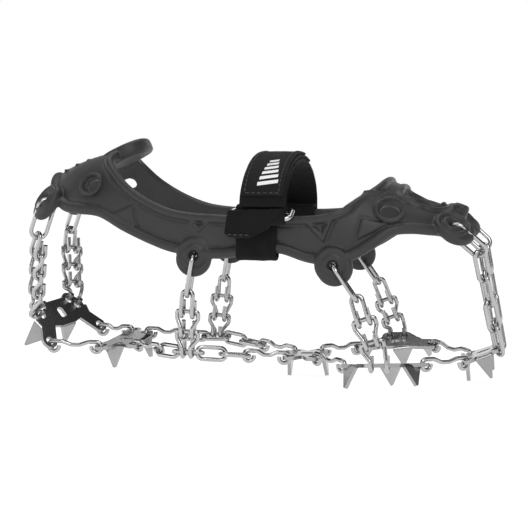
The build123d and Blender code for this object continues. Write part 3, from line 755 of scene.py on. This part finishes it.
def ribbon(name, path, centre, width, material, thickness=WEBBING, closed=False, ripple=0.0,
           seed=0.0):
    """Webbing along a path of (y, z) points, with its centre line at one X and soft waves."""
    path = np.asarray(path, float)
    tangent = np.gradient(path, axis=0)
    if closed:
        tangent = np.roll(path, -1, axis=0) - np.roll(path, 1, axis=0)
    tangent = unit(tangent)
    normal = np.stack([tangent[:, 1], -tangent[:, 0]], axis=1)
    reach = reach_along(path)
    half, rim = width / 2, thickness / 2
    flat = np.linspace(-half + rim, half - rim, 22)
    turn = np.radians(np.linspace(90, -90, 7)[1:-1])
    edge = half - rim + rim * np.cos(turn)
    x = np.concatenate([flat, edge, flat[::-1], -edge])
    rise = np.concatenate([np.full(len(flat), rim), rim * np.sin(turn),
                           np.full(len(flat), -rim), -rim * np.sin(turn)])
    wave = ripple * (np.sin(reach[:, None] * 0.55 + x * 0.5 + seed)
                     + 0.6 * np.sin(reach[:, None] * 0.23 - x * 0.9 + 2 * seed))
    lift = rise + wave
    y = path[:, :1] + normal[:, :1] * lift
    z = path[:, 1:] + normal[:, 1:] * lift
    points = np.stack([np.broadcast_to(centre + x, lift.shape), y, z], axis=-1).reshape(-1, 3)
    rows, columns = lift.shape
    faces = grid_faces(rows, columns, closed, True)
    if not closed:
        faces += end_caps(len(points), columns)
    uv = np.stack([np.repeat(reach * MM, columns), np.tile(x * MM, rows)], axis=1)
    return add_object(name, points, faces, material, uv)


def arch(size, start, end, samples=120):
    """Path of (y, z) points over the instep from the near side; angles in degrees."""
    half_width, height = size
    turn = np.radians(np.linspace(start, end, samples))
    return np.stack([-half_width * np.cos(turn), ARCH_BASE + height * np.sin(turn)], axis=1)


def loop_path(high, side, radius=2.7):
    """Rounded rectangle in the YZ plane that wraps the band on one side."""
    inner, outer, low = LOOP_INNER, LOOP_OUTER, LOOP_LOW
    corners = [(inner, low), (outer, low), (outer, high), (inner, high)]
    path = []
    starts = (180, 270, 0, 90)
    for (y, z), begin, (sy, sz) in zip(corners, starts, ((1, 1), (-1, 1), (-1, -1), (1, -1))):
        middle = np.array((y + sy * radius, z + sz * radius))
        turn = np.radians(np.linspace(begin, begin + 90, 8))
        path += list(middle + radius * np.stack([np.cos(turn), np.sin(turn)], axis=1))
    path = np.array(path) * (side, 1)
    return even_path(np.vstack([path, path[:1]]), 120)[:-1]


def stitch_row(line, normal_of, length=2.1, gap=1.0, radius=0.24):
    """Thread stitches along a polyline that lies on a surface."""
    reach = reach_along(line)
    rise = np.sin(np.linspace(0, math.pi, 7))
    swell = radius * (0.55 + 0.45 * rise)
    solids = []
    at = gap
    while at + length < reach[-1]:
        places = spread(np.linspace(at, at + length, 7), reach, line)
        places = places + normal_of(places) * (rise[:, None] * 0.22 - 0.05)
        solids.append(tube(places, swell, 6))
        at += length + gap
    return solids


def arch_normal(size):
    """Function that gives the outward normals of an arch at places on it."""
    half_width, height = size

    def normal_of(places):
        out = np.stack([np.zeros(len(places)), places[:, 1] / half_width ** 2,
                        (places[:, 2] - ARCH_BASE) / height ** 2], axis=1)
        return unit(out)
    return normal_of


def finish_piece(piece, body, slot, *replaced):
    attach(piece, body)
    if replaced:
        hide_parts(*replaced)


def make_loops(material):
    piece = ribbon("near_loop_webbing", loop_path(81.4, -1), NEAR_LOOP_CENTRE, NEAR_LOOP_WIDTH,
                   material, closed=True, ripple=0.10)
    finish_piece(piece, HOLDER, "webbing", "near_anchor_loop")
    piece = ribbon("far_loop_webbing", loop_path(78.1, 1), STRAP_CENTRE, FAR_LOOP_WIDTH,
                   material, closed=True, ripple=0.10, seed=2.0)
    finish_piece(piece, HOLDER, "webbing", "far_anchor_loop")


def make_strap(material):
    side = STRAP_ARCH[0]
    near = np.array([(-side, z) for z in np.linspace(75.4, 79.6, 8)])
    far = np.array([(side, z) for z in np.linspace(79.6, 58.4, 30)])
    path = even_path(np.vstack([near, arch(STRAP_ARCH, 0, 180), far]), 200)
    piece = ribbon("instep_webbing", path, STRAP_CENTRE, STRAP_WIDTH, material, ripple=0.07,
                   seed=1.0)
    finish_piece(piece, HOLDER, "webbing", "instep_strap")


# Outline of the skirt as (x, z), from its rear top corner down and round to its front top corner
SKIRT = [(-8.2, 79.6), (-8.6, 75.6), (-9.8, 67.4), (-7.6, 65.2), (2.6, 65.0), (12.6, 69.4),
         (17.6, 74.4), (22.0, 80.5)]


def make_turnback(material):
    """Webbing turned up round the ring's lower bar."""
    bar_y = RING_BAR[0]
    turn = np.radians(np.linspace(180, 360, 20))
    fold = np.array(RING_BAR) + FOLD_RADIUS * np.stack([-np.cos(turn), np.sin(turn)], axis=1)
    outside = np.array([(bar_y - FOLD_RADIUS, z) for z in np.linspace(75.3, 79.0, 8)])
    inside = np.array([(bar_y + FOLD_RADIUS, 75.3)])
    path = even_path(np.vstack([inside, fold, outside]), 40)
    piece = ribbon("turnback_webbing", path, STRAP_CENTRE, STRAP_WIDTH, material)
    finish_piece(piece, HOLDER, "webbing", "strap_turnback")


def make_skirt(material):
    """Folded end of the webbing that hangs in front of the ring; gives its outer face's points."""
    rows, columns = 44, 56
    rear_edge = even_path(np.array(SKIRT[:4]), rows)
    front_edge = even_path(np.array(SKIRT[:3:-1]), rows)
    t = np.linspace(0, 1, columns)[None, :, None]
    flat = rear_edge[:, None] * (1 - t) + front_edge[:, None] * t
    down = np.linspace(0, 1, rows)[:, None]
    over = np.linspace(0, 1, columns)[None, :]
    bulge = 0.7 * np.sin(down * math.pi) + 0.35 * np.sin(over * 9 + down * 5) * down
    hem = -0.9 * np.clip((down - 0.86) / 0.14, 0, 1) ** 2
    y = -54.9 - bulge - hem + 0.6 * (1 - down)
    outer = np.stack([flat[..., 0], y, flat[..., 1]], axis=-1)
    inner = outer + (0, 1.5, 0)
    middle = outer.mean(axis=(0, 1))
    drawn_in = outer + (middle - outer) * (0.035, 0, 0.035)
    points = np.concatenate([drawn_in.reshape(-1, 3), inner.reshape(-1, 3)])
    count = rows * columns
    faces = [tuple(reversed(face)) for face in grid_faces(rows, columns)]
    faces += grid_faces(rows, columns, start=count)
    border = ([(0, c) for c in range(columns - 1)] + [(r, columns - 1) for r in range(rows - 1)]
              + [(rows - 1, c) for c in range(columns - 1, 0, -1)]
              + [(r, 0) for r in range(rows - 1, 0, -1)])
    for (r0, c0), (r1, c1) in zip(border, border[1:] + border[:1]):
        a, b = r0 * columns + c0, r1 * columns + c1
        faces.append((a, b, b + count, a + count))
    skirt = add_object("strap_skirt", points, faces, material, points[:, [2, 0]] * MM)
    finish_piece(skirt, HOLDER, "webbing")
    return outer


def make_flap(material, pad_material):
    piece = ribbon("flap_webbing", arch(FLAP_ARCH, 3, 116), STRAP_CENTRE, STRAP_WIDTH, material,
                   ripple=0.05)
    finish_piece(piece, "flap", "webbing", "strap_flap")
    pad = ribbon("strap_pad", arch(PAD_ARCH, 14.5, 104), STRAP_CENTRE, PAD_WIDTH, pad_material,
                 PAD_THICKNESS, ripple=0.04, seed=3.0)
    finish_piece(pad, "flap", "strap_pad", "strap_patch")


def make_stitches(material, skirt_face):
    """Seams along both edges and the foot of the pad, and along the skirt's hem."""
    normal_of = arch_normal(STITCH_ARCH)
    along = arch(STITCH_ARCH, 16.5, 102, 160)
    solids = []
    for x in PAD_SEAMS:
        solids += stitch_row(np.insert(along, 0, x, axis=1), normal_of)
    foot = np.array([(x, *along[0]) for x in np.linspace(0.4, 19.6, 30)])
    solids += stitch_row(foot, normal_of)
    row = joined("pad_stitches", solids)
    row.data.materials.append(material)
    finish_piece(row, "flap", "strap_pad")

    def outward(places):
        return np.tile((0, -1.0, 0), (len(places), 1))

    hem = skirt_face[int(len(skirt_face) * 0.84)] + (0, -0.02, 0)
    row = joined("skirt_stitches", stitch_row(hem[2:-2], outward))
    row.data.materials.append(material)
    finish_piece(row, HOLDER, "webbing")


def mark_outlines():
    """Generic printed mark: slanted bars that get shorter, as (across, along) corners."""
    outlines = []
    for step in range(6):
        reach, foot, lean = 5.4 - 0.6 * step, 4.3 * step, 2.0
        outlines.append([(-reach, foot), (reach, foot + lean), (reach, foot + lean + 2.5),
                         (-reach, foot + 2.5)])
    return outlines


def make_mark(material):
    """White print on the pad, laid on its curved surface."""
    path = arch(PRINT_ARCH, 24, 104, 400)
    reach = reach_along(path)
    normal_of = arch_normal(PRINT_ARCH)
    solids = []
    for outline in mark_outlines():
        outline = np.asarray(outline, float)
        dense = np.array([a + (b - a) * share for a, b in zip(outline, np.roll(outline, -1, axis=0))
                          for share in np.linspace(0, 1, 10, endpoint=False)])
        middle = dense.mean(axis=0)
        rings = []
        for scale, lift in ((1.0, -0.25), (1.0, 0.10), (0.97, 0.16), (0.66, 0.17), (0.33, 0.17)):
            flat = middle + (dense - middle) * scale
            places = np.insert(spread(flat[:, 1], reach, path), 0, MARK_CENTRE + flat[:, 0], axis=1)
            rings.append(places + normal_of(places) * lift)
        points = np.concatenate(rings)
        lowest, highest = end_caps(len(points), len(dense))
        faces = grid_faces(len(rings), len(dense), False, True) + [highest[::-1], lowest[::-1]]
        solids.append((points, faces))
    mark = joined("strap_mark", solids)
    mark.data.materials.append(material)
    finish_piece(mark, "flap", "strap_pad")


# ---------------------------------------------------------------- everything


def dress_steel():
    """Give every link, plate and ring its steel."""
    steels = {
        "chain_steel": steel_material("chain_wire", 0.46, 0.15),
        "plate_steel": steel_material("plate_sheet", 0.38, 0.17, (1, 6, 1)),
        "ring_steel": steel_material("ring_wire", 0.50, 0.14),
    }
    for entry in frame["record"]["subparts"]:
        material = steels.get(entry["material_slot"])
        if material:
            for slot in NODES[entry["node"]].material_slots:
                slot.material = material


make_camera()
make_studio()
make_floor()
dress_steel()
make_harness(rubber_material())
# In each webbing the darker colour is painted shade in the weave's hollows and the lighter one is a
# painted highlight on its raised threads.
weave = webbing_material("woven_webbing", 0.0011, (0.0025,) * 3, (0.010,) * 3)
fine_weave = webbing_material("pad_fabric", 0.0006, (0.005,) * 3, (0.013,) * 3)
make_loops(weave)
make_strap(weave)
make_turnback(weave)
skirt_outside = make_skirt(weave)
make_flap(weave, fine_weave)
make_stitches(thread_material(), skirt_outside)
make_mark(print_material())
